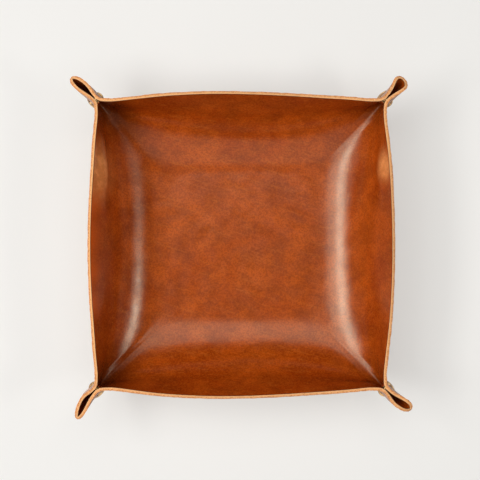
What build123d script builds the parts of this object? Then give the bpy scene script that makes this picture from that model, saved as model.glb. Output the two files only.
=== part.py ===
from build123d import *
import os
from functools import cache
from math import cos, pi, radians, sin

# Valet tray: one square of thick leather whose four corners are pinched by snap fasteners.
# Millimetres, +Z up, +Y the back. The origin is the middle of the underside, on the table.

# Leather sheet. Widths and reaches are of the leather's middle surface.
leather_thickness = 2.5
floor_half_width = 61.5
wall_bend_radius = 57.0
wall_lean = 62.0
wall_straight = 31.0
rim_bow = 7.7

# Ears, the pinched corners that stand out past the snaps
neck_margin = 0.75
ear_overhang = 25.5

# Snap fasteners, each a cap riveted to a socket and a post riveted to a stud
snap_below_rim = 12.0
seat_depth = 0.15
seat_clearance = 0.2
seat_cut = 1.5
plate_thickness = 0.5
rivet_radius = 1.2
rivet_hole_clearance = 0.2
rivet_fit = 0.02
flare_width = 0.5
flare_height = 0.45

# Cap, the broad low dome
cap_radius = 6.25
cap_edge = 0.5
cap_height = 2.2

# Post, the small round dome
post_radius = 4.2
post_edge = 0.4
post_height = 2.2

# Stud, the male half, with a hollow nub
stud_bore_clearance = 0.1
stud_wall = 0.35
stud_shoulder_width = 1.35
stud_shoulder_height = 0.5
stud_flange_width = 1.5
stud_head_height = 0.7
stud_head_corner = 0.25
stud_head_clearance = 0.6

# Spring ring that lies behind the socket's lip and grips the stud's neck
spring_wire_radius = 0.3
spring_clearance = 0.2
spring_catch = 0.25
spring_room = 0.35
spring_play = 0.03
spring_split = 20.0

# Socket, the female half
socket_mouth_clearance = 0.2
socket_lip = 0.4
socket_wall = 0.7
socket_corner = 0.5
socket_flange_width = 1.2
mating_clearance = 0.2

# The leather's lines, drawn as a boat's are: shares for eight levels, evenly spaced up the wall
# from the floor to the rim. The low levels are rounded squares, the high ones have necks and ears.
crease_shares = (0.0, 0.16, 0.325, 0.505, 0.728, 0.848, 0.933, 1.0)
side_hold_shares = (0.64, 0.68, 0.68, 0.65, 0.58, 0.50, 0.50, 0.50)
corner_round_shares = (0.18, 0.15, 0.115, 0.08, 0.05, 0.045, 0.04, 0.04)
ear_shares = (0.0, 0.0, 0.0, 0.12, 0.6, 1.0, 1.0, 1.0)
neck_reach_shares = (0.73, 0.73, 0.72, 0.77, 0.925, 0.994, 1.0, 1.0)
neck_width_shares = (4.2, 4.2, 4.2, 3.9, 3.0, 1.05, 1.0, 1.0)
loop_width_shares = (3.0, 3.0, 2.7, 2.4, 1.85, 1.1, 1.25, 1.55)

# Places of the points along a side, as shares of the way: on a rounded square, on a bowed wall
# up to its neck, and on the ear's flank up to its loop.
side_column_shares = (0.0, 0.25, 0.48, 0.66, 0.78, 0.86, 0.92, 0.965, 1.0)
wall_column_shares = (0.0, 0.3, 0.6, 0.85, 1.0)
flank_column_shares = (0.3, 0.62)
flank_widening_shares = (0.0, 0.1)
loop_depth_share = 1.5

# The corner of the flat floor lies this much further out than the middle of its side.
floor_corner_share = 1.25

# The rim falls a little from the middle of a wall to the ear, and the ear's tip is rounded.
rim_fall_share = 0.05
tip_start_share = 0.8
tip_round_share = 0.05

# The spline surfaces go through this many steps of points, up the wall and along a side.
wall_steps = 36
side_steps = 48
step_share = 0.001
surface_tolerance = 0.005

corner_azimuths = {"back_right": 45, "back_left": 135, "front_left": 225, "front_right": 315}

leather_half = leather_thickness / 2
wall_length = wall_bend_radius * radians(wall_lean) + wall_straight

# Radii of a snap, from the rivet outwards
flare_radius = rivet_radius + flare_width
stud_bore_radius = flare_radius + stud_bore_clearance
stud_neck_radius = stud_bore_radius + stud_wall
stud_shoulder_radius = stud_neck_radius + stud_shoulder_width
stud_flange_radius = stud_shoulder_radius + stud_flange_width
spring_inner_radius = stud_neck_radius + spring_clearance
stud_head_radius = spring_inner_radius + spring_catch
socket_mouth_radius = stud_head_radius + socket_mouth_clearance
socket_groove_radius = spring_inner_radius + 2 * spring_wire_radius + spring_room
socket_radius = socket_groove_radius + socket_wall
socket_flange_radius = socket_radius + socket_flange_width

# Heights of a snap, stacked from its parts, and the gap that they leave between the flanks
spring_space = 2 * (spring_wire_radius + spring_play)
head_space = stud_head_height + stud_head_clearance
socket_height = socket_lip + spring_space + head_space + flare_height + plate_thickness
snap_gap = socket_height + mating_clearance + stud_shoulder_height + plate_thickness - 2 * seat_depth
flank_half_width = snap_gap / 2 + leather_half


def spline(row, place):
    """A uniform cubic spline through a row that has one entry more at each end."""
    spans = len(row) - 3
    span = max(0, min(int(place * spans), spans - 1))
    f = place * spans - span
    weights = ((1 - f) ** 3, 3 * f**3 - 6 * f**2 + 4, -3 * f**3 + 3 * f**2 + 3 * f + 1, f**3)
    terms = [entry * (weight / 6) for entry, weight in zip(row[span : span + 4], weights)]
    return terms[0] + terms[1] + terms[2] + terms[3]


def at_level(shares, level):
    """The share at a level, from the floor (0) to the rim (1)."""
    before = 2 * shares[0] - shares[1]
    after = 2 * shares[-1] - shares[-2]
    return spline((before, *shares, after), level)


def ease(share):
    """From 0 to 1 with flat ends."""
    share = max(0, min(share, 1))
    return share**2 * (3 - 2 * share)


def wall_profile(level):
    """Half width and height in the middle of a wall: a bend, then a straight lean."""
    length = level * wall_length
    turn = min(length / wall_bend_radius, radians(wall_lean))
    rest = length - turn * wall_bend_radius
    half_width = floor_half_width + wall_bend_radius * sin(turn) + rest * cos(turn)
    height = wall_bend_radius * (1 - cos(turn)) + rest * sin(turn)
    return half_width, height


# Reaches along a corner's diagonal, from the tray's middle
rim_half_width, rim_rise = wall_profile(1)
neck_reach = (rim_half_width - rim_bow) / cos(pi / 4) - flank_half_width
snap_reach = neck_reach + neck_margin + cap_radius
ear_reach = snap_reach + ear_overhang
snap_height = leather_half + rim_rise * (1 - rim_fall_share) - snap_below_rim


def by_diagonal(reach, half_width):
    """A point beside the corner's diagonal, on the side of the +X wall."""
    return Vector(reach + half_width, reach - half_width) * cos(pi / 4)


def rounded_square(half_width, crease_reach, level):
    """Points of a low level, from the middle of the +X wall to the corner."""
    start = Vector(half_width, 0)
    hold = Vector(half_width, half_width * at_level(side_hold_shares, level))
    turn = by_diagonal(crease_reach, half_width * at_level(corner_round_shares, level))
    end = by_diagonal(crease_reach, 0)
    points = []
    for s in side_column_shares:
        before = start * (1 - s) ** 3 + hold * (3 * s * (1 - s) ** 2)
        points.append(before + turn * (3 * s**2 * (1 - s)) + end * s**3)
    return points


def wall_and_ear(half_width, crease_reach, level):
    """Points of a high level: a bowed wall, its neck, and the ear's flank and loop."""
    reach = neck_reach * at_level(neck_reach_shares, level)
    width = flank_half_width * at_level(neck_width_shares, level)
    neck = by_diagonal(reach, width)
    points = [Vector(half_width + (neck.X - half_width) * s**2, neck.Y * s) for s in wall_column_shares]
    loop_reach = crease_reach - flank_half_width * loop_depth_share
    loop_width = flank_half_width * at_level(loop_width_shares, level)
    for s, widening in zip(flank_column_shares, flank_widening_shares):
        flank_width = width + (loop_width - width) * widening
        points.append(by_diagonal(reach + (loop_reach - reach) * s, flank_width))
    points.append(by_diagonal(loop_reach, loop_width))
    points.append(by_diagonal((3 * crease_reach - loop_reach) / 2, 0))
    return points


@cache
def level_line(level):
    """Points of one level, with a mirrored one before the wall's middle and after the fold."""
    half_width = wall_profile(level)[0]
    floor_corner = floor_half_width * floor_corner_share
    crease_reach = floor_corner + (ear_reach - floor_corner) * at_level(crease_shares, level)
    ear = max(0, min(at_level(ear_shares, level), 1))
    low = rounded_square(half_width, crease_reach, level)
    high = wall_and_ear(half_width, crease_reach, level)
    line = [a * (1 - ear) + b * ear for a, b in zip(low, high)]
    mirrored_first = Vector(line[1].X, -line[1].Y)
    mirrored_last = Vector(line[-2].Y, line[-2].X)
    return [mirrored_first, *line, mirrored_last]


def sheet_point(level, along):
    """The leather's middle surface, from the middle of the +X wall (0) to the ear's fold (1)."""
    level *= 1 - tip_round_share * ease((along - tip_start_share) / (1 - tip_start_share))
    place = spline(level_line(level), along)
    height = wall_profile(level)[1] * (1 - rim_fall_share * ease(along))
    return Vector(place.X, place.Y, leather_half + height)


def sheet_normal(level, along):
    """The direction out of the leather's flesh side, from short steps either way."""
    if level == 0:
        return Vector(0, 0, -1)
    up = sheet_point(level + step_share, along) - sheet_point(level - step_share, along)
    before = sheet_point(level, max(along - step_share, 0))
    after = sheet_point(level, min(along + step_share, 1))
    normal = (after - before).cross(up)
    if along == 0:
        normal = Vector(normal.X, 0, normal.Z)
    if along == 1:
        mean = (normal.X + normal.Y) / 2
        normal = Vector(mean, mean, normal.Z)
    return normal.normalized()


def sheet_face(out):
    """An eighth of the flesh side or grain side, between a wall's middle and an ear's fold."""
    rows = []
    for i in range(wall_steps + 1):
        spots = [(i / wall_steps, j / side_steps) for j in range(side_steps + 1)]
        rows.append([sheet_point(*spot) + sheet_normal(*spot) * out for spot in spots])
    return Face.make_surface_from_array_of_points(rows, tol=surface_tolerance)


def eight_ways(face):
    """The face and its likenesses about the walls' middles and the corners' diagonals."""
    pair = (face, face.mirror(Plane.XZ))
    return [half.rotate(Axis.Z, turn) for half in pair for turn in (0, 90, 180, 270)]


# Places along a snap's axis, measured from the middle of the gap between the flanks
inner_seat = snap_gap / 2 + seat_depth
outer_seat = snap_gap / 2 + leather_thickness - seat_depth
socket_mouth = inner_seat - socket_height
spring_place = socket_mouth + socket_lip + spring_space / 2
stud_shoulder = socket_mouth - mating_clearance
stud_head = socket_mouth + socket_lip + spring_space


def snap_plane(azimuth):
    """A level plane through a snap's middle: X out along the diagonal, Y along the snap's axis."""
    out = Vector(1, 0, 0).rotate(Axis.Z, azimuth)
    return Plane(out * snap_reach + Vector(0, 0, snap_height), x_dir=out, z_dir=(0, 0, 1))


def snap_axis(plane):
    return Axis(plane.origin, plane.y_dir)


def seat_profile():
    """What a snap takes out of both flanks: the rivets' holes and four shallow pressed seats."""
    hole_radius = rivet_radius + rivet_hole_clearance
    with BuildSketch() as profile:
        with BuildLine():
            Polyline(
                (0, outer_seat + seat_cut),
                (cap_radius + seat_clearance, outer_seat + seat_cut),
                (cap_radius + seat_clearance, outer_seat),
                (hole_radius, outer_seat),
                (hole_radius, inner_seat),
                (socket_flange_radius + seat_clearance, inner_seat),
                (socket_flange_radius + seat_clearance, -inner_seat),
                (hole_radius, -inner_seat),
                (hole_radius, -outer_seat),
                (post_radius + seat_clearance, -outer_seat),
                (post_radius + seat_clearance, -outer_seat - seat_cut),
                (0, -outer_seat - seat_cut),
                close=True,
            )
        make_face()
    return profile.sketch


def leather_sheet():
    """The whole folded sheet, with a rivet hole and pressed seats in each flank of each ear."""
    under = sheet_face(leather_half)
    upper = sheet_face(-leather_half)
    rim_edges = [face.edges().sort_by(Axis.Z)[-1] for face in (under, upper)]
    rim = Face.make_surface_from_curves(*rim_edges)
    faces = [copy for face in (under, upper, rim) for copy in eight_ways(face)]
    for face in (under, upper):
        faces.append(Face(Wire(eight_ways(face.edges().sort_by(Axis.Z)[0]))))
    with BuildPart() as leather:
        add(Solid(Shell(faces)))
        for azimuth in corner_azimuths.values():
            with BuildSketch(snap_plane(azimuth)):
                add(seat_profile())
            revolve(axis=snap_axis(snap_plane(azimuth)), mode=Mode.SUBTRACT)
    return leather


def snap_cap(plane):
    """The broad dome on the outer face of one flank, with its rivet flared inside the socket."""
    flare_top = inner_seat - plate_thickness
    with BuildPart() as cap:
        with BuildSketch(plane):
            with BuildLine():
                TangentArc(
                    (0, outer_seat + cap_height), (cap_radius, outer_seat + cap_edge), tangent=(1, 0)
                )
                Polyline(
                    (cap_radius, outer_seat + cap_edge),
                    (cap_radius, outer_seat),
                    (rivet_radius, outer_seat),
                    (rivet_radius, flare_top),
                    (flare_radius, flare_top),
                    (flare_radius, flare_top - flare_height),
                    (0, flare_top - flare_height),
                    (0, outer_seat + cap_height),
                )
            make_face()
        revolve(axis=snap_axis(plane))
    return cap


def snap_socket(plane):
    """The female half: a flange on the inner face of the flank and a cup with a grooved mouth."""
    base = inner_seat - plate_thickness
    with BuildPart() as socket:
        with BuildSketch(plane):
            with BuildLine():
                Polyline(
                    (rivet_radius + rivet_fit, inner_seat),
                    (socket_flange_radius, inner_seat),
                    (socket_flange_radius, base),
                    (socket_radius, base),
                    (socket_radius, socket_mouth + socket_corner),
                    (socket_radius - socket_corner, socket_mouth),
                    (socket_mouth_radius, socket_mouth),
                    (socket_mouth_radius, socket_mouth + socket_lip),
                    (socket_groove_radius, socket_mouth + socket_lip),
                    (socket_groove_radius, base),
                    (rivet_radius + rivet_fit, base),
                    close=True,
                )
            make_face()
        revolve(axis=snap_axis(plane))
    return socket


def socket_spring(plane):
    """The split wire ring that lies behind the socket's lip and grips the stud's neck."""
    with BuildPart() as spring:
        with BuildSketch(plane):
            with Locations((spring_inner_radius + spring_wire_radius, spring_place)):
                Circle(spring_wire_radius)
        revolve(axis=snap_axis(plane), revolution_arc=360 - spring_split)
    return spring


def snap_stud(plane):
    """The male half: a flange and shoulder on the other flank, and a hollow nub with a head."""
    base = plate_thickness - inner_seat
    head_top = stud_head + stud_head_height
    with BuildPart() as stud:
        with BuildSketch(plane):
            with BuildLine():
                Polyline(
                    (rivet_radius + rivet_fit, -inner_seat),
                    (stud_flange_radius, -inner_seat),
                    (stud_flange_radius, base),
                    (stud_shoulder_radius, base),
                    (stud_shoulder_radius, stud_shoulder),
                    (stud_neck_radius, stud_shoulder),
                    (stud_neck_radius, stud_head),
                    (stud_head_radius, stud_head + stud_head_corner),
                    (stud_head_radius, head_top - stud_head_corner),
                    (stud_head_radius - stud_head_corner, head_top),
                    (0, head_top),
                    (0, head_top - stud_wall),
                    (stud_bore_radius, head_top - stud_wall),
                    (stud_bore_radius, base),
                    (rivet_radius + rivet_fit, base),
                    close=True,
                )
            make_face()
        revolve(axis=snap_axis(plane))
    return stud


def snap_post(plane):
    """The small round dome on the other flank's outer face, with its rivet flared in the stud."""
    flare_bottom = plate_thickness - inner_seat
    with BuildPart() as post:
        with BuildSketch(plane):
            with BuildLine():
                TangentArc(
                    (0, -outer_seat - post_height), (post_radius, -outer_seat - post_edge), tangent=(1, 0)
                )
                Polyline(
                    (post_radius, -outer_seat - post_edge),
                    (post_radius, -outer_seat),
                    (rivet_radius, -outer_seat),
                    (rivet_radius, flare_bottom),
                    (flare_radius, flare_bottom),
                    (flare_radius, flare_bottom + flare_height),
                    (0, flare_bottom + flare_height),
                    (0, -outer_seat - post_height),
                )
            make_face()
        revolve(axis=snap_axis(plane))
    return post


os.makedirs("parts", exist_ok=True)

leather = leather_sheet()
leather.part.label = "leather"
export_step(leather.part, "parts/leather.step")

snap_pieces = {
    "cap": snap_cap,
    "socket": snap_socket,
    "socket_spring": socket_spring,
    "stud": snap_stud,
    "post": snap_post,
}
for corner, azimuth in corner_azimuths.items():
    for kind, make in snap_pieces.items():
        piece = make(snap_plane(azimuth))
        piece.part.label = f"{kind}_{corner}"
        export_step(piece.part, f"parts/{piece.part.label}.step")
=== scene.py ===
import math

import bpy
import numpy as np
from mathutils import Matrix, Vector


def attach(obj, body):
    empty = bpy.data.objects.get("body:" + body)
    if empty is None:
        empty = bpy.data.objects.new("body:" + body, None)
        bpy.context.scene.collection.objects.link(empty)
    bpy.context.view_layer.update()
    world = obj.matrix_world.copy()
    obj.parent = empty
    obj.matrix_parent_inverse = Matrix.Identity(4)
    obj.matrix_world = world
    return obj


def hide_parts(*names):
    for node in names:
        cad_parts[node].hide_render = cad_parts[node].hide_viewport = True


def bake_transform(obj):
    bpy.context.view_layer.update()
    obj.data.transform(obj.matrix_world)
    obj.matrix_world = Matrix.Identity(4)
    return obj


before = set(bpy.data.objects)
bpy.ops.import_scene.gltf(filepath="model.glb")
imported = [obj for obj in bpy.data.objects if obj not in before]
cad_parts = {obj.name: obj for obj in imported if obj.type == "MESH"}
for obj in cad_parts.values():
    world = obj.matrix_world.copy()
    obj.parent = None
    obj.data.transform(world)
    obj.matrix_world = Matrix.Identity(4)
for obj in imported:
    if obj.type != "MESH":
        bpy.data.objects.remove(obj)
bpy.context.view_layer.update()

# Valet tray: the leather as a fine mesh with its three finishes, and the snaps in antique brass.
# Metres, in the CAD frame: +Z up, +Y towards the back wall, the origin under the tray's middle.

MM = 0.001

# Leather sheet, as in the CAD. Widths and reaches are of the leather's middle surface.
leather_thickness = 2.5 * MM
leather_half = leather_thickness / 2
floor_half_width = 61.5 * MM
wall_bend_radius = 57 * MM
wall_lean = math.radians(62)
wall_straight = 31 * MM
wall_length = wall_bend_radius * wall_lean + wall_straight
rim_bow = 7.7 * MM
neck_margin = 0.75 * MM
ear_overhang = 25.5 * MM
snap_gap = 4.21 * MM
snap_below_rim = 12 * MM
cap_radius = 6.25 * MM
post_radius = 4.2 * MM
socket_flange_radius = 5.25 * MM
stud_flange_radius = 5.0 * MM
seat_depth = 0.15 * MM
flank_half_width = snap_gap / 2 + leather_half

# Its lines: shares for eight levels, evenly spaced up the wall from the floor to the rim
crease_shares = (0.0, 0.16, 0.325, 0.505, 0.728, 0.848, 0.933, 1.0)
side_hold_shares = (0.64, 0.68, 0.68, 0.65, 0.58, 0.50, 0.50, 0.50)
corner_round_shares = (0.18, 0.15, 0.115, 0.08, 0.05, 0.045, 0.04, 0.04)
ear_shares = (0.0, 0.0, 0.0, 0.12, 0.6, 1.0, 1.0, 1.0)
neck_reach_shares = (0.73, 0.73, 0.72, 0.77, 0.925, 0.994, 1.0, 1.0)
neck_width_shares = (4.2, 4.2, 4.2, 3.9, 3.0, 1.05, 1.0, 1.0)
loop_width_shares = (3.0, 3.0, 2.7, 2.4, 1.85, 1.1, 1.25, 1.55)

# Places of the points along a side, as shares of the way from a wall's middle to an ear's fold
side_column_shares = (0.0, 0.25, 0.48, 0.66, 0.78, 0.86, 0.92, 0.965, 1.0)
wall_column_shares = (0.0, 0.3, 0.6, 0.85, 1.0)
flank_column_shares = (0.3, 0.62)
flank_widening_shares = (0.0, 0.1)
loop_depth_share = 1.5
floor_corner_share = 1.25
rim_fall_share = 0.05
tip_start_share = 0.8
tip_round_share = 0.05

# The mesh: columns in an eighth of the way round, rows up the wall and rings on the floor
columns = 80
wall_rows = 72
floor_rings = 14
around = 8 * columns
ring_levels = np.concatenate((np.zeros(floor_rings), np.linspace(0, 1, wall_rows + 1)))

# The leather's finishes, in the order of its material slots
flesh_side, cut_edge, grain_side = range(3)

# Corner names in the order of their azimuths, from 45 degrees on. A cap is on the side that
# comes later round the tray, counterclockwise, and a post on the side that comes before.
corner_names = ("back_right", "back_left", "front_left", "front_right")
corner_azimuths = [math.radians(45 + 90 * n) for n in range(4)]

# How each ear differs by hand, beyond its snap: the tip's sideways swing (counterclockwise), the
# swing of its lower part, the loop's width as a share, and its length
ear_swings = (1.2 * MM, 1.6 * MM, 6.0 * MM, 3.2 * MM)
ear_twists = (-1.5 * MM, 5.5 * MM, 4.5 * MM, 3.5 * MM)
ear_openings = (1.38, 0.68, 0.52, 0.85)
ear_growths = (-1.0 * MM, 3.5 * MM, 5.0 * MM, 3.2 * MM)
ear_hold = 7.5 * MM
ear_zone_half_width = 25 * MM
ear_twist_depth = 0.25
ear_twist_low = 0.6

# Above its snap the leather leans together: how narrow, and how far it reaches
pinch_share = 0.52
pinch_above_snap = 6.4 * MM
pinch_inwards = 9 * MM
pinch_outwards = 15 * MM

# Small waves in the walls and along the cut rim: sizes, counts round the tray, and phases
wave_sizes = (0.7 * MM, 0.45 * MM, 0.3 * MM)
wave_counts = (3, 7, 13)
wave_starts = (0.6, 2.1, 4.4)
rim_sizes = (0.5 * MM, 0.3 * MM, 0.15 * MM)
rim_counts = (2, 9, 21)
rim_starts = (1.2, 0.4, 3.0)
# They are held still near the snaps, grow on the way from there, and are whole from a level on
wave_hold = 16 * MM
wave_ramp = 40 * MM
wave_full_level = 0.625

# Soft dents in the walls below the rim: middle, level, depth, half length, and half height as a share
wall_dents = (
    ((-118 * MM, 66 * MM), 0.80, 4.5 * MM, 26 * MM, 0.11),
    ((119 * MM, 64 * MM), 0.82, 2.5 * MM, 17 * MM, 0.09),
    ((104 * MM, -112 * MM), 0.80, 2.0 * MM, 20 * MM, 0.10),
)

# The cut rim's rounded edge: places across the thickness (1 on the flesh side) and heights
rim_corner = 0.25 * MM
rim_shares = (0.93, 0.6, 0.0, -0.6, -0.93)
rim_heights = (-0.06 * MM, 0.0, 0.02 * MM, 0.0, -0.06 * MM)
# Its loose fibres: how far they stand out on the flesh side, and their share on the next points
fray_size = 0.45 * MM
fray_share = 0.6
fray_seed = 7

# The seats' rounded edge, outside what is pressed into them
dent_clearance = 0.1 * MM
dent_slope = 1.2 * MM

# The flanks, as pieces of their own: where they begin along a side and up the wall, and for their
# weights, where they would follow their snap half wholly and where the fold starts to hold them
flank_start = 0.2
flank_full = 0.51
flank_hold = 0.675
flank_bottom = 0.3
flank_top = 0.76

# Painted shade in the folds up to the corners: length, half width, and a shade for each corner
crease_length = 72 * MM
crease_half_width = 34 * MM
corner_fold_shades = (0.60, 0.95, 0.90, 0.55)

# Painted light in patches near the rim of the side walls, broken up by noise: middle, and radius
painted_light_patches = (
    ((-121 * MM, 62 * MM, 50 * MM), 36 * MM),
    ((121 * MM, 66 * MM, 52 * MM), 20 * MM),
)
# Painted light along the upper left wall, near the rim: middle, and radius
painted_wall_light_places = (
    ((-123 * MM, 34 * MM, 60 * MM), 26 * MM),
    ((-123 * MM, 6 * MM, 60 * MM), 24 * MM),
    ((-123 * MM, -22 * MM, 60 * MM), 22 * MM),
    ((-122 * MM, -50 * MM, 60 * MM), 20 * MM),
)

# Marks, painted shade and painted light on the grain side: the sizes of their features, and how
# strongly they show
cloud_size = 32 * MM
patch_size, patch_strength = 17 * MM, 0.50
streak_size, streak_strength = 16 * MM, 0.35
scratch_size, scratch_strength = 2.4 * MM, 0.50
speckle_size, dark_speckle, pale_speckle = 1.5 * MM, 0.52, 0.38
pore_size, pore_strength = 0.9 * MM, 0.30
# Noise that breaks up the painted light patches: its size, and its shares
light_breakup_size, light_breakup_strengths = 7 * MM, (0.95, 0.60)
streak_turn = (0, 0, 0.3)
floor_tone_strength, floor_tone_reach = 0.20, (45 * MM, 95 * MM)
burnish_strength, burnish_reach = 0.60, (1.8 * MM, 0.4 * MM)
# How strongly the painted shade in the folds and the painted light along the left wall show
fold_shade_strength, painted_wall_light_strength = 0.75, 0.7
gloss_size, gloss_range = 12 * MM, (0.20, 0.27)
sheen_range = (0.5, 0.12)
buckle_size, buckle_depth = 22 * MM, 0.35 * MM
grain_size, grain_depth = 2.2 * MM, 0.045 * MM
pore_depth = 0.012 * MM

# On the flesh side, on the cut edge, and on the metals
flesh_cloud_size, fibre_size, fibre_strength = 14 * MM, 0.8 * MM, 0.45
nap_size, nap_depth, fibre_depth = 3 * MM, 0.12 * MM, 0.10 * MM
speck_size, speck_strength = 1.3 * MM, 0.8
fluff_size, fluff_strength = 0.7 * MM, 0.6
edge_line_strength = 0.45
edge_grain_size, edge_grain_depth = 0.6 * MM, 0.18 * MM
patina_size, brass_gloss_size, brass_gloss_range = 3.5 * MM, 1.2 * MM, (0.14, 0.30)
brass_grain_size, brass_grain_depth = 0.5 * MM, 0.006 * MM
tarnish_size, wire_gloss_size, wire_gloss_range = 1.0 * MM, 0.4 * MM, (0.18, 0.32)

# Colours, linear
grain_dark = (0.390, 0.0510, 0.0015)
grain_light = (0.540, 0.087, 0.0040)
grain_deep = (0.190, 0.027, 0.0010)
grain_pale = (0.490, 0.102, 0.010)
# Dark brown for the burnished rim and cut edge, and for the painted shade in the folds
burnish_and_shade_colour = (0.050, 0.010, 0.002)
shine_colour = (1.000, 0.940, 0.720)
# A lighter tone towards the floor
floor_tone_colour = (0.560, 0.115, 0.012)
# Painted light near the rim: in patches, and along the left wall
painted_light_patch_colour = (1.000, 0.400, 0.120)
painted_wall_light_colour = (0.850, 0.135, 0.008)
flesh_dark = (0.500, 0.290, 0.200)
flesh_light = (0.680, 0.420, 0.310)
flesh_deep = (0.400, 0.200, 0.120)
edge_light = (0.950, 0.480, 0.190)
edge_warm = (0.900, 0.400, 0.140)
edge_speck = (0.660, 0.220, 0.050)
edge_fluff = (0.950, 0.740, 0.560)
brass_patina = (0.240, 0.115, 0.040)
brass_bright = (0.900, 0.570, 0.250)
wire_bright = (0.600, 0.430, 0.250)
wire_dull = (0.350, 0.230, 0.120)
backdrop_colour = (0.912, 0.896, 0.865)
backdrop_shade = (0.900, 0.884, 0.853)
black = (0, 0, 0)

# Camera: what the picture shows at the rim's height, and the camera's place
picture_width = 398 * MM
rim_height = 57 * MM
camera_place = (-0.6 * MM, 3.7 * MM, 1157 * MM)
sensor_width = 36.0

# Lamps: azimuth and elevation in degrees, width and height in metres, and radiance. They all
# stand at one distance from the tray's middle.
lamp_distance = 2.0
lamps = {
    "key": (179, 46, 1.5, 0.42, 8.9),
    "key_front": (188, 38, 0.5, 0.3, 5.0),
    "key_high": (180, 60, 1.3, 0.6, 2.8),
    "fill": (8, 38, 1.0, 0.5, 0.9),
    "fill_front": (346, 38, 0.55, 0.32, 11.5),
    "back": (90, 67, 1.8, 1.2, 1.7),
    "front": (270, 56, 1.8, 1.7, 0.7),
    "overhead": (180, 82, 1.8, 1.0, 0.1),
}

# Table, and the share of its colour that is there without light. The backdrop behind it ends
# between two heights above the horizon for metal, as sines, so that the leather doesn't show it.
table_half_width = 3.0
table_drop = -0.05 * MM
table_glow = 0.48
table_shade_size = 400 * MM
backdrop_end = (0.10, 0.30)


def ease(share):
    """From 0 to 1 with flat ends."""
    share = np.clip(share, 0, 1)
    return share**2 * (3 - 2 * share)


def spline(rows, place):
    """Uniform cubic splines, one for each place, through rows with one entry more at each end."""
    spans = rows.shape[1] - 3
    span = np.clip((place * spans).astype(int), 0, spans - 1)
    f = (place * spans - span)[:, None]
    weights = ((1 - f) ** 3, 3 * f**3 - 6 * f**2 + 4, -3 * f**3 + 3 * f**2 + 3 * f + 1, f**3)
    each = np.arange(len(place))
    return sum(rows[each, span + n] * weight for n, weight in enumerate(weights)) / 6


def at_level(shares, level):
    """The share at each level, from the floor (0) to the rim (1), as a column."""
    row = np.array([2 * shares[0] - shares[1], *shares, 2 * shares[-1] - shares[-2]])
    return spline(np.broadcast_to(row[:, None], (len(level), len(row), 1)), level)


def wall_profile(level):
    """Half width and height in the middle of a wall: a bend, then a straight lean."""
    length = level * wall_length
    turn = np.minimum(length / wall_bend_radius, wall_lean)
    rest = length - turn * wall_bend_radius
    half_width = floor_half_width + wall_bend_radius * np.sin(turn) + rest * np.cos(turn)
    height = wall_bend_radius * (1 - np.cos(turn)) + rest * np.sin(turn)
    return half_width, height


rim_half_width, rim_rise = wall_profile(1.0)
neck_reach = (rim_half_width - rim_bow) * math.sqrt(2) - flank_half_width
snap_reach = neck_reach + neck_margin + cap_radius
ear_reach = snap_reach + ear_overhang
snap_height = leather_half + rim_rise * (1 - rim_fall_share) - snap_below_rim


def by_diagonal(reach, half_width):
    """Points beside a corner's diagonal, on the side of the +X wall."""
    return np.stack((reach + half_width, reach - half_width), -1) / math.sqrt(2)


def rounded_squares(half_width, crease_reach, level):
    """Points of low levels, from the middle of the +X wall to the corner."""
    s = np.array(side_column_shares)[:, None]
    start = np.stack((half_width, 0 * half_width), -1)
    hold = np.stack((half_width, half_width * at_level(side_hold_shares, level)), -1)
    turn = by_diagonal(crease_reach, half_width * at_level(corner_round_shares, level))
    end = by_diagonal(crease_reach, 0 * crease_reach)
    return (
        start * (1 - s) ** 3 + hold * (3 * s * (1 - s) ** 2) + turn * (3 * s**2 * (1 - s)) + end * s**3
    )


def walls_and_ears(half_width, crease_reach, level):
    """Points of high levels: a bowed wall, its neck, and the ear's flank and loop."""
    reach = neck_reach * at_level(neck_reach_shares, level)
    width = flank_half_width * at_level(neck_width_shares, level)
    neck = by_diagonal(reach, width)
    points = [
        np.stack((half_width + (neck[..., 0] - half_width) * s**2, neck[..., 1] * s), -1)
        for s in wall_column_shares
    ]
    loop_reach = crease_reach - flank_half_width * loop_depth_share
    loop_width = flank_half_width * at_level(loop_width_shares, level)
    for s, widening in zip(flank_column_shares, flank_widening_shares):
        flank_width = width + (loop_width - width) * widening
        points.append(by_diagonal(reach + (loop_reach - reach) * s, flank_width))
    points.append(by_diagonal(loop_reach, loop_width))
    points.append(by_diagonal((3 * crease_reach - loop_reach) / 2, 0 * crease_reach))
    return np.concatenate(points, 1)


def sheet_points(level, along):
    """The leather's middle surface, from the middle of the +X wall (0) to the ear's fold (1)."""
    level = level * (1 - tip_round_share * ease((along - tip_start_share) / (1 - tip_start_share)))
    half_width, height = (size[:, None] for size in wall_profile(level))
    floor_corner = floor_half_width * floor_corner_share
    crease_reach = floor_corner + (ear_reach - floor_corner) * at_level(crease_shares, level)
    ear = np.clip(at_level(ear_shares, level), 0, 1)[..., None]
    low = rounded_squares(half_width, crease_reach, level)
    high = walls_and_ears(half_width, crease_reach, level)
    line = low * (1 - ear) + high * ear
    first = line[:, 1:2] * (1, -1)
    last = line[:, -2:-1, ::-1]
    place = spline(np.concatenate((first, line, last), 1), along)
    height = leather_half + height[:, 0] * (1 - rim_fall_share * ease(along))
    return np.column_stack((place, height))


def all_round(grid):
    """Turns rows of points of the first eighth into whole rings."""
    mirrored = grid[:, ::-1, [1, 0, 2]]
    quarter = np.concatenate((grid[:, :-1], mirrored[:, :-1]), 1)
    turns = [quarter]
    for _ in range(3):
        turns.append(turns[-1][..., [1, 0, 2]] * (-1, 1, 1))
    return np.concatenate(turns, 1)


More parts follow.
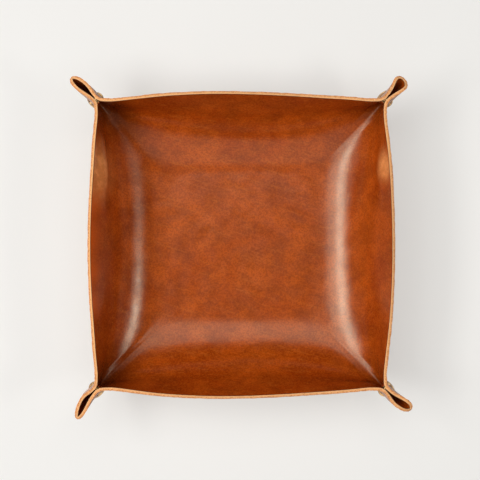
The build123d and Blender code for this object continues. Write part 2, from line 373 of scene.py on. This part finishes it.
def middle_surface():
    """Rings of points of the leather's middle surface, from the middle of the floor to the rim."""
    levels = np.repeat(np.linspace(0, 1, wall_rows + 1), columns + 1)
    alongs = np.tile(np.linspace(0, 1, columns + 1), wall_rows + 1)
    walls = all_round(sheet_points(levels, alongs).reshape(wall_rows + 1, columns + 1, 3))
    floor = np.repeat(walls[:1], floor_rings, 0)
    floor[..., :2] *= (np.arange(1, floor_rings + 1) / (floor_rings + 1))[:, None, None]
    return np.concatenate((floor, walls))


def corner_frame(points, azimuth):
    """Reach along a corner's diagonal and the sideways place, counterclockwise, and both directions."""
    out = np.array((math.cos(azimuth), math.sin(azimuth)))
    side = np.array((-out[1], out[0]))
    return points[..., :2] @ out, points[..., :2] @ side, out, side


def leaned_and_opened(points, azimuth, swing, twist, opening, growth):
    """One ear's own lean, width and length, which grow from its snap to its tip."""
    level = ring_levels[:, None]
    reach, side, out, across = corner_frame(points, azimuth)
    near = np.abs(side) < ear_zone_half_width
    hold = snap_reach + ear_hold
    share = ease((reach - hold) / (ear_reach - hold)) * near
    low_part = ease((1 - level) / ear_twist_depth) * ease(level / ear_twist_low)
    lean = swing * share + twist * share * low_part
    points[..., :2] += (share * growth)[..., None] * out
    points[..., :2] += (side * (opening - 1) * share + lean)[..., None] * across
    pinch_start = snap_height + pinch_above_snap
    above = ease((points[..., 2] - pinch_start) / (rim_rise - pinch_start))
    off = reach - snap_reach
    beside = 1 - ease(np.abs(off) / np.where(off > 0, pinch_outwards, pinch_inwards))
    points[..., :2] -= (side * pinch_share * above * beside * near)[..., None] * across


def shaped_by_hand(points):
    """Each ear leans, opens and reaches out in its own way, beyond its snap."""
    points = points.copy()
    for own in zip(corner_azimuths, ear_swings, ear_twists, ear_openings, ear_growths):
        leaned_and_opened(points, *own)
    return points


def waves(sizes, counts, starts):
    """Waves round the tray, added up."""
    turn = np.linspace(0, 2 * math.pi, around, endpoint=False)
    return sum(size * np.sin(count * turn + start) for size, count, start in zip(sizes, counts, starts))


def waved(points):
    """The walls wave a little, as leather does, and stay true at the floor and at the snaps."""
    points = points.copy()
    level = ring_levels[:, None]
    to_snap = np.min([
        np.hypot(points[..., 0] - x, points[..., 1] - y)
        for x, y in (snap_reach * np.array((math.cos(a), math.sin(a))) for a in corner_azimuths)
    ], 0)
    hold = ease((to_snap - wave_hold) / wave_ramp) * ease(level / wave_full_level)
    outwards = points[..., :2] / np.linalg.norm(points[..., :2], axis=-1, keepdims=True)
    bulge = hold * waves(wave_sizes, wave_counts, wave_starts)
    for (x, y), middle_level, depth, half_length, half_height in wall_dents:
        along = np.hypot(points[-1, :, 0] - x, points[-1, :, 1] - y) / half_length
        up = (level - middle_level) / half_height
        bulge = bulge - depth * np.exp(-(along**2) - up**2)
    points[..., :2] += outwards * bulge[..., None]
    points[..., 2] += hold * ease(level) * waves(rim_sizes, rim_counts, rim_starts)
    return points


def across_normals(grid):
    """Unit normals of a grid of rings, out of the flesh side of a middle surface."""
    along = np.roll(grid, -1, 1) - np.roll(grid, 1, 1)
    outward = np.gradient(grid, axis=0)
    normal = np.cross(along, outward)
    return normal / np.linalg.norm(normal, axis=-1, keepdims=True)


def snap_dents(middle, on_flesh):
    """How deep each point lies in the shallow seats that the snaps press into the leather."""
    depth = np.zeros(middle.shape[:2])
    for azimuth in corner_azimuths:
        reach, side, _, _ = corner_frame(middle, azimuth)
        from_axis = np.hypot(reach - snap_reach, middle[..., 2] - snap_height)
        cap_side = side > 0
        if on_flesh:
            radius = np.where(cap_side, cap_radius, post_radius)
        else:
            radius = np.where(cap_side, socket_flange_radius, stud_flange_radius)
        near = np.abs(side) < ear_zone_half_width
        depth += seat_depth * near * (1 - ease((from_axis - radius - dent_clearance) / dent_slope))
    return depth


def whole_skin(middle):
    """One grid of rings for the whole leather: flesh side outwards, cut rim, grain side back."""
    normal = across_normals(middle)
    rim_out = middle[-1] - middle[-2]
    rim_out /= np.linalg.norm(rim_out, axis=-1, keepdims=True)
    sides = []
    for sign, on_flesh in ((1, True), (-1, False)):
        thickness = leather_half - snap_dents(middle, on_flesh)
        side = middle + normal * (sign * thickness)[..., None]
        side[-1] -= rim_out * rim_corner
        sides.append(side)
    rim = [
        middle[-1] + normal[-1] * (share * leather_half) + rim_out * height
        for share, height in zip(rim_shares, rim_heights)
    ]
    fray = fray_size * np.random.default_rng(fray_seed).random((2, around, 1))
    rim[0] += normal[-1] * fray[0]
    rim[1] += normal[-1] * fray[0] * fray_share + rim_out * (fray[1] - fray_size / 2) * fray_share
    skin = np.concatenate((sides[0], rim, sides[1][::-1]))
    skin[..., 2] = np.maximum(skin[..., 2], 0)
    return skin


def blend_weights(alongs, levels):
    """How far each point of a flank would follow its snap half, as a weight."""
    across = ease((alongs - flank_start) / (flank_full - flank_start))
    across = across * (1 - ease((alongs - flank_hold) / (1 - flank_hold)))
    return across * ease((levels - flank_bottom) / (flank_top - flank_bottom))


def painted_fold_shading(middle):
    """How far into the folds up to the corners each point lies, for the shade painted there."""
    depths = np.zeros(middle.shape[:2])
    for azimuth, shade in zip(corner_azimuths, corner_fold_shades):
        reach, side, _, _ = corner_frame(middle, azimuth)
        near = 1 - ease(np.abs(reach - snap_reach) / crease_length)
        depths += shade * near * (1 - ease(np.abs(side) / crease_half_width))
    return depths


def through_skin(side):
    """Values of the middle surface's points, for all points of the skin."""
    grid = np.concatenate((side, np.repeat(side[-1:], len(rim_shares), 0), side[::-1]))
    return np.append(grid.ravel(), grid[0, :2])


class Skin:
    """The leather's whole surface as one grid of rings: flesh side out, cut rim, grain side back."""

    def __init__(self, looks):
        self.looks = looks
        self.middle = waved(shaped_by_hand(middle_surface()))
        self.side_rows = len(self.middle)
        grid = whole_skin(self.middle)
        self.rows = len(grid)
        self.numbers = np.arange(self.rows * around).reshape(self.rows, around)
        centres = [(0, 0, grid[0, 0, 2]), (0, 0, grid[-1, 0, 2])]
        self.points = np.concatenate((grid.reshape(-1, 3), centres))
        self.normals = np.concatenate((across_normals(grid).reshape(-1, 3), [(0, 0, -1), (0, 0, 1)]))
        steps = np.linalg.norm(np.diff(self.middle, axis=0), axis=-1)
        to_rim = np.concatenate((np.cumsum(steps[::-1], 0)[::-1], np.zeros((1, around))))
        side = np.ones(self.side_rows)
        across = np.repeat(np.concatenate((side, rim_shares, -side))[:, None], around, 1)
        self.values = {
            # The painted shade in the folds, at each point
            "painted_fold_shade": through_skin(painted_fold_shading(self.middle)),
            "rim_distance": through_skin(to_rim),
            "across": np.append(across.ravel(), across[0, :2]),
        }
        eighth = np.linspace(0, 1, columns + 1)
        alongs = np.tile(np.concatenate((eighth[:-1], eighth[:0:-1])), 4)
        self.weights = through_skin(blend_weights(alongs[None, :], ring_levels[:, None]))

    def quads(self, rows, cols):
        """The surface's quads between rows and columns, and each one's finish."""
        row, col = np.meshgrid(rows, cols, indexing="ij")
        after = (col + 1) % around
        corners = (row, col % around), (row, after), (row + 1, after), (row + 1, col % around)
        faces = np.stack([self.numbers[place] for place in corners], -1).reshape(-1, 4)
        on_rim = (row >= self.side_rows - 1) & (row < self.rows - self.side_rows)
        finish = np.where(row < self.side_rows - 1, flesh_side, np.where(on_rim, cut_edge, grain_side))
        return faces.tolist(), finish.ravel().tolist()

    def fans(self):
        """Triangles about the middle of the floor, below and above."""
        below, above = self.numbers.size, self.numbers.size + 1
        first, last = self.numbers[0].tolist(), self.numbers[-1].tolist()
        pairs = [(k, (k + 1) % around) for k in range(around)]
        faces = [[first[b], first[a], below] for a, b in pairs]
        faces += [[last[a], last[b], above] for a, b in pairs]
        return faces, [flesh_side] * around + [grain_side] * around

    def wall_below(self, row, cols):
        """Quads through the thickness along a row, facing the floor."""
        near, far = cols % around, (cols + 1) % around
        back = self.rows - 1 - row
        corners = (row, far), (row, near), (back, near), (back, far)
        return np.stack([self.numbers[place] for place in corners], -1).tolist()

    def wall_beside(self, row, column):
        """Faces through the thickness up a column, from a row to the rim, facing clockwise."""
        rows = np.arange(row, self.side_rows - 1)
        back = self.rows - 1 - rows
        corners = rows, rows + 1, back - 1, back
        faces = np.stack([self.numbers[place, column % around] for place in corners], -1).tolist()
        rim = self.numbers[self.side_rows - 1 : self.rows - self.side_rows + 1, column % around]
        return faces + [rim.tolist()]


def turned(faces):
    """The same faces, looking the other way."""
    return [face[::-1] for face in faces]


def mesh_piece(name, skin, faces, finishes, walls):
    """A closed piece of the leather, and which of the skin's points it has.

    Its faces are of the skin, and its walls are where it meets its neighbours.
    """
    used = np.unique(np.concatenate([np.ravel(face) for face in faces + walls]))
    order = np.full(len(skin.points), -1)
    order[used] = np.arange(len(used))
    own_faces = [order[face].tolist() for face in faces + walls]
    mesh = bpy.data.meshes.new(name)
    mesh.from_pydata(skin.points[used].tolist(), [], own_faces, shade_flat=False)
    mesh.polygons.foreach_set("material_index", np.array(finishes + [cut_edge] * len(walls), np.int32))
    for label, values in skin.values.items():
        layer = mesh.attributes.new(label, "FLOAT", "POINT")
        layer.data.foreach_set("value", values[used].astype(np.float32))
    normals = [skin.normals[np.concatenate([np.ravel(face) for face in faces])]]
    for wall in walls:
        corners = skin.points[wall]
        flat = np.cross(corners[2] - corners[0], corners[3] - corners[1])
        normals.append(np.tile(flat / np.linalg.norm(flat), (len(wall), 1)))
    mesh.normals_split_custom_set(np.concatenate(normals).tolist())
    for look in skin.looks:
        mesh.materials.append(look)
    piece = bpy.data.objects.new(name, mesh)
    bpy.context.scene.collection.objects.link(piece)
    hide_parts("leather")
    return piece, used


def patch_area(patch):
    """The area of a patch of the leather, from the diagonals of its quads."""
    one, other = patch[1:, 1:] - patch[:-1, :-1], patch[1:, :-1] - patch[:-1, 1:]
    return float(np.linalg.norm(np.cross(one, other), axis=-1).sum() / 2)


def add_flank(skin, row, first, last, name):
    """One flank, from the wall to the fold, beside one half of its snap, as a piece of its own. Gives
    its area.
    """
    cols = np.arange(first, last)
    faces, finishes = skin.quads(np.arange(row, skin.rows - 1 - row), cols)
    walls = skin.wall_below(row, cols) + skin.wall_beside(row, first)
    walls += turned(skin.wall_beside(row, last))
    piece, used = mesh_piece(name, skin, faces, finishes, walls)
    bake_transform(piece)
    patch = skin.middle[row:, np.arange(first, last + 1) % around]
    area = patch_area(patch)
    return area


def add_flanks(skin, row, span):
    """The two flanks of each ear. Gives their areas."""
    areas = []
    for n, (corner, azimuth) in enumerate(zip(corner_names, corner_azimuths)):
        fold = (2 * n + 1) * columns
        for half, first in (("post", fold - span), ("cap", fold)):
            name, snap_half = f"leather_flank_{half}_side_{corner}", f"{half}_side_{corner}"
            areas.append(add_flank(skin, row, first, first + span, name))
    return areas


def add_tray(skin, row, span):
    """The floor, the low walls and the middle of each wall, which ride on the sheet."""
    all_columns = np.arange(around)
    low = skin.quads(np.arange(row), all_columns)
    high = skin.quads(np.arange(skin.rows - 1 - row, skin.rows - 1), all_columns)
    parts = [low, high, skin.fans()]
    walls = []
    for n in range(4):
        fold = (2 * n + 1) * columns
        strip = np.arange(fold + span, fold + 2 * columns - span)
        parts.append(skin.quads(np.arange(row, skin.rows - 1 - row), strip))
        walls += turned(skin.wall_below(row, np.arange(fold - span, fold + span)))
        walls += turned(skin.wall_beside(row, fold - span)) + skin.wall_beside(row, fold + span)
    faces = [face for part in parts for face in part[0]]
    finishes = [finish for part in parts for finish in part[1]]
    piece, _ = mesh_piece("leather_tray", skin, faces, finishes, walls)
    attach(piece, "leather_sheet")


class Nodes:
    """Adds shader nodes to a tree. Each method gives the socket that it ends with."""

    def __init__(self, tree):
        self.tree = tree

    def add(self, kind, inputs, **settings):
        """A node with its settings, and a value or a link on each of the named inputs."""
        node = self.tree.nodes.new(kind)
        for name, value in settings.items():
            setattr(node, name, value)
        for name, value in inputs.items():
            if isinstance(value, bpy.types.NodeSocket):
                self.tree.links.new(value, node.inputs[name])
            else:
                node.inputs[name].default_value = value
        return node

    def coordinate(self, kind):
        """A place on the object, or a direction in the world."""
        return self.add("ShaderNodeTexCoord", {}).outputs[kind]

    def attribute(self, name):
        """A value that the mesh has at its points."""
        return self.add("ShaderNodeAttribute", {}, attribute_name=name).outputs["Fac"]

    def math(self, operation, first, second):
        """An operation on two values."""
        return self.add("ShaderNodeMath", {0: first, 1: second}, operation=operation).outputs[0]

    def between(self, value, low, high, to_low=0.0, to_high=1.0):
        """The value mapped smoothly from one range to another."""
        node = self.add("ShaderNodeMapRange", {
            "Value": value, "From Min": low, "From Max": high, "To Min": to_low, "To Max": to_high,
        }, interpolation_type="SMOOTHSTEP")
        return node.outputs[0]

    def mix(self, share, first, second):
        """The first colour at share 0 and the second at 1."""
        node = self.add("ShaderNodeMix", {}, data_type="RGBA")
        for index, value in ((0, share), (6, first), (7, second)):
            if isinstance(value, bpy.types.NodeSocket):
                self.tree.links.new(value, node.inputs[index])
            else:
                node.inputs[index].default_value = value if index == 0 else (*value, 1)
        return node.outputs[2]

    def backdrop_rays(self, mirrored_share=1.0):
        """1 for rays from the camera, a share for rays from metal and glass, and 0 for other rays."""
        path = self.add("ShaderNodeLightPath", {}).outputs
        mirrored = self.math("MAXIMUM", path["Is Glossy Ray"], path["Is Transmission Ray"])
        mirrored = self.math("MULTIPLY", mirrored, mirrored_share)
        return self.math("MAXIMUM", path["Is Camera Ray"], mirrored)


class Look(Nodes):
    """A procedural material: a shader, and the nodes that vary its colour, gloss and relief."""

    def __init__(self, name, **fixed):
        self.material = bpy.data.materials.new(name)
        self.material.use_nodes = True
        super().__init__(self.material.node_tree)
        self.shader = self.tree.nodes["Principled BSDF"]
        for socket, value in fixed.items():
            self.shader.inputs[socket.replace("_", " ")].default_value = value
        self.place = self.coordinate("Object")

    def noise(self, size, detail=2.0, roughness=0.5, stretch=(1, 1, 1), turn=(0, 0, 0), warp=0.0):
        """Smooth noise from 0 to 1 with features of a size in metres."""
        along = self.add("ShaderNodeMapping", {"Vector": self.place, "Rotation": turn}).outputs[0]
        place = self.add("ShaderNodeMapping", {"Vector": along, "Scale": stretch}).outputs[0]
        node = self.add("ShaderNodeTexNoise", {
            "Vector": place, "Scale": 1 / size, "Detail": detail, "Roughness": roughness,
            "Distortion": warp,
        })
        return node.outputs["Fac"]

    def cells(self, size):
        """Distance from the nearest of scattered points, in cells of a size in metres."""
        node = self.add("ShaderNodeTexVoronoi", {"Vector": self.place, "Scale": 1 / size})
        return node.outputs["Distance"]

    def near(self, middle, radius):
        """1 in the middle of a place and 0 from its radius on."""
        away = self.add("ShaderNodeVectorMath", {0: self.place, 1: middle}, operation="DISTANCE")
        return self.between(away.outputs["Value"], 0.0, radius, 1.0, 0.0)

    def layer(self, under, over, mask, start, full, strength=1.0):
        """A colour over another, from nothing where the mask is at start, to a strength at full."""
        return self.mix(self.between(mask, start, full, 0.0, strength), under, over)

    def relief(self, height, depth, below=None):
        """Bumps of a depth in metres, on top of coarser ones below them."""
        inputs = {"Height": height, "Distance": depth}
        if below is not None:
            inputs["Normal"] = below
        return self.add("ShaderNodeBump", inputs).outputs[0]

    def set(self, **sockets):
        """Links the shader's sockets, and gives the material."""
        for name, value in sockets.items():
            self.tree.links.new(value, self.shader.inputs[name.replace("_", " ")])
        return self.material


def grain_marks(look, colour):
    """Cloudy patches, streaks and scratches on the waxed grain, painted shade in its folds, and
    speckle.
    """
    patches = look.noise(patch_size, 4, 0.6, stretch=(0.8, 1.1, 1), warp=0.3)
    colour = look.layer(colour, grain_deep, patches, 0.38, 0.68, patch_strength)
    streaks = look.noise(streak_size, 3, 0.6, stretch=(0.35, 1.6, 1), turn=streak_turn, warp=0.6)
    colour = look.layer(colour, grain_pale, streaks, 0.55, 0.80, streak_strength)
    scratches = look.noise(scratch_size, 2, 0.5, stretch=(0.05, 1, 1), turn=streak_turn, warp=0.2)
    colour = look.layer(colour, grain_pale, scratches, 0.56, 0.68, scratch_strength)
    # Painted shade, darkest in the folds at the corners
    painted_fold_shade = look.attribute("painted_fold_shade")
    colour = look.layer(colour, burnish_and_shade_colour, painted_fold_shade, 0.0, 1.0, fold_shade_strength)
    speckle = look.noise(speckle_size, 3, 0.7)
    colour = look.layer(colour, grain_deep, speckle, 0.44, 0.62, dark_speckle)
    return look.layer(colour, grain_pale, speckle, 0.50, 0.34, pale_speckle)


def painted_wall_light(look, colour):
    """Painted light near the rim: along the upper left wall, and in patches broken up by noise."""
    # Painted light along the upper left wall
    for middle, radius in painted_wall_light_places:
        share = look.math("MULTIPLY", look.near(middle, radius), painted_wall_light_strength)
        colour = look.mix(share, colour, painted_wall_light_colour)
    # Painted light in patches near the rim, broken up by noise
    light_breakup = look.between(look.noise(light_breakup_size, 4, 0.65), 0.35, 0.60, *light_breakup_strengths)
    for middle, radius in painted_light_patches:
        share = look.math("MULTIPLY", look.near(middle, radius), light_breakup)
        colour = look.mix(share, colour, painted_light_patch_colour)
    return colour


def grain_material():
    """Smooth waxed cognac: cloudy, finely pored, and burnished dark along its cut edge."""
    look = Look("leather_grain", IOR=1.6, Specular_Tint=(*shine_colour, 1))
    rim_distance = look.attribute("rim_distance")
    clouds = look.noise(cloud_size, 4, 0.6, warp=0.4)
    colour = look.layer(grain_dark, grain_light, clouds, 0.36, 0.64)
    # Lighter leather towards the floor, from the lower bend on
    colour = look.layer(colour, floor_tone_colour, rim_distance, *floor_tone_reach, floor_tone_strength)
    colour = painted_wall_light(look, grain_marks(look, colour))
    pores = look.cells(pore_size)
    colour = look.layer(colour, grain_deep, pores, 0.32, 0.10, pore_strength)
    colour = look.layer(colour, burnish_and_shade_colour, rim_distance, *burnish_reach, burnish_strength)
    gloss = look.between(look.noise(gloss_size, 3, 0.6), 0.3, 0.7, *gloss_range)
    sheen = look.between(look.attribute("painted_fold_shade"), 0.0, 0.6, *sheen_range)
    normal = look.relief(look.noise(buckle_size, 2), buckle_depth)
    normal = look.relief(look.noise(grain_size, 3, 0.65), grain_depth, normal)
    normal = look.relief(look.between(pores, 0.05, 0.35), pore_depth, normal)
    return look.set(Base_Color=colour, Roughness=gloss, Specular_IOR_Level=sheen, Normal=normal)


def flesh_material():
    """Raw suede on the back: pale, fibrous and matt."""
    look = Look(
        "leather_flesh", Roughness=0.93, Specular_IOR_Level=0.25, Sheen_Weight=0.25, Sheen_Roughness=0.5
    )
    colour = look.layer(flesh_dark, flesh_light, look.noise(flesh_cloud_size, 4, 0.6), 0.3, 0.7)
    fibres = look.noise(fibre_size, 4, 0.7, stretch=(1, 0.35, 1), turn=(0.3, 0.2, 0.7), warp=1.0)
    colour = look.layer(colour, flesh_deep, fibres, 0.40, 0.70, fibre_strength)
    normal = look.relief(look.noise(nap_size, 4, 0.6), nap_depth)
    normal = look.relief(fibres, fibre_depth, normal)
    return look.set(Base_Color=colour, Normal=normal)


def edge_material():
    """The raw cut: light and close under the grain, and loose and speckled towards the flesh."""
    look = Look("leather_edge", Roughness=0.85, Sheen_Weight=0.2, Sheen_Roughness=0.5)
    across = look.attribute("across")
    colour = look.layer(edge_light, edge_warm, across, -0.6, 0.7)
    loose = look.between(across, -0.8, 0.8, -0.03, 0.16)
    specks = look.math("ADD", look.noise(speck_size, 3, 0.65), loose)
    colour = look.layer(colour, edge_speck, specks, 0.56, 0.68, speck_strength)
    fluff = look.noise(fluff_size, 2, 0.6, turn=(0.9, 0.4, 0.2))
    colour = look.layer(colour, edge_fluff, fluff, 0.60, 0.72, fluff_strength)
    colour = look.layer(colour, burnish_and_shade_colour, across, -0.80, -0.95, edge_line_strength)
    normal = look.relief(look.noise(edge_grain_size, 4, 0.7), edge_grain_depth)
    return look.set(Base_Color=colour, Normal=normal)


def brass_material():
    """Antique brass: satin, with a brown patina that is worn through in places."""
    look = Look("antique_brass", Metallic=1.0)
    colour = look.layer(brass_patina, brass_bright, look.noise(patina_size, 4, 0.6), 0.35, 0.65)
    gloss = look.between(look.noise(brass_gloss_size, 3, 0.6), 0.3, 0.7, *brass_gloss_range)
    normal = look.relief(look.noise(brass_grain_size, 3, 0.6), brass_grain_depth)
    return look.set(Base_Color=colour, Roughness=gloss, Normal=normal)


def wire_material():
    """Bright drawn bronze wire, a little tarnished."""
    look = Look("spring_wire", Metallic=1.0)
    colour = look.layer(wire_bright, wire_dull, look.noise(tarnish_size, 3, 0.6), 0.35, 0.7)
    gloss = look.between(look.noise(wire_gloss_size, 2, 0.5), 0.3, 0.7, *wire_gloss_range)
    return look.set(Base_Color=colour, Roughness=gloss)


def dress_snaps():
    """Gives the snaps' solids their metals."""
    brass, wire = brass_material(), wire_material()
    for name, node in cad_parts.items():
        if name != "leather":
            node.data.materials.clear()
            node.data.materials.append(wire if name.startswith("socket_spring") else brass)


def add_camera():
    """Straight above the tray."""
    data = bpy.data.cameras.new("camera")
    data.sensor_width = sensor_width
    data.lens = sensor_width * (camera_place[2] - rim_height) / picture_width
    camera = bpy.data.objects.new("camera", data)
    camera.location = camera_place
    bpy.context.scene.collection.objects.link(camera)
    bpy.context.scene.camera = camera


def add_panel(name, azimuth, elevation, width, height, radiance):
    """A soft rectangular lamp that shines from a direction onto the middle of the tray."""
    data = bpy.data.lights.new(name, "AREA")
    data.shape = "RECTANGLE"
    data.size, data.size_y = width, height
    data.energy = radiance * math.pi * width * height
    lamp = bpy.data.objects.new(name, data)
    turn, rise = math.radians(azimuth), math.radians(elevation)
    away = Vector((math.cos(rise) * math.cos(turn), math.cos(rise) * math.sin(turn), math.sin(rise)))
    lamp.location = away * lamp_distance
    lamp.rotation_mode = "QUATERNION"
    lamp.rotation_quaternion = away.to_track_quat("Z", "Y")
    bpy.context.scene.collection.objects.link(lamp)


def add_world():
    """A pale backdrop that gives no light. Metal shows it near the horizon."""
    world = bpy.data.worlds.new("studio")
    world.use_nodes = True
    bpy.context.scene.world = world
    nodes = Nodes(world.node_tree)
    background = world.node_tree.nodes["Background"]
    background.inputs["Color"].default_value = (*backdrop_colour, 1)
    direction = nodes.coordinate("Generated")
    rise = nodes.add("ShaderNodeSeparateXYZ", {"Vector": direction}).outputs["Z"]
    seen = nodes.backdrop_rays(nodes.between(rise, *backdrop_end, 1.0, 0.0))
    world.node_tree.links.new(seen, background.inputs["Strength"])


def table_material():
    """Pale and matt. It keeps the tray's shadow, and part of its colour needs no light to be seen."""
    look = Look("table", Roughness=0.9, Specular_IOR_Level=0.0)
    shade = look.between(look.noise(table_shade_size, 2), 0.3, 0.7)
    colour = look.mix(shade, backdrop_colour, backdrop_shade)
    glow = look.math("MULTIPLY", look.backdrop_rays(), table_glow)
    lit = look.mix(glow, colour, black)
    return look.set(Base_Color=lit, Emission_Color=colour, Emission_Strength=glow)


def add_floor():
    """A plain pale table under the tray."""
    mesh = bpy.data.meshes.new("table")
    half = table_half_width
    corners = [(x * half, y * half, table_drop) for x, y in ((-1, -1), (1, -1), (1, 1), (-1, 1))]
    mesh.from_pydata(corners, [], [(0, 1, 2, 3)])
    mesh.materials.append(table_material())
    table = bpy.data.objects.new("table", mesh)
    bpy.context.scene.collection.objects.link(table)


skin = Skin([flesh_material(), edge_material(), grain_material()])
flank_row = floor_rings + round(flank_bottom * wall_rows)
flank_span = round((1 - flank_start) * columns)
flank_areas = add_flanks(skin, flank_row, flank_span)
add_tray(skin, flank_row, flank_span)
dress_snaps()
add_camera()
for name, panel in lamps.items():
    add_panel(name, *panel)
add_world()
add_floor()
bpy.context.scene.view_settings.view_transform = "Standard"

bpy.context.view_layer.update()
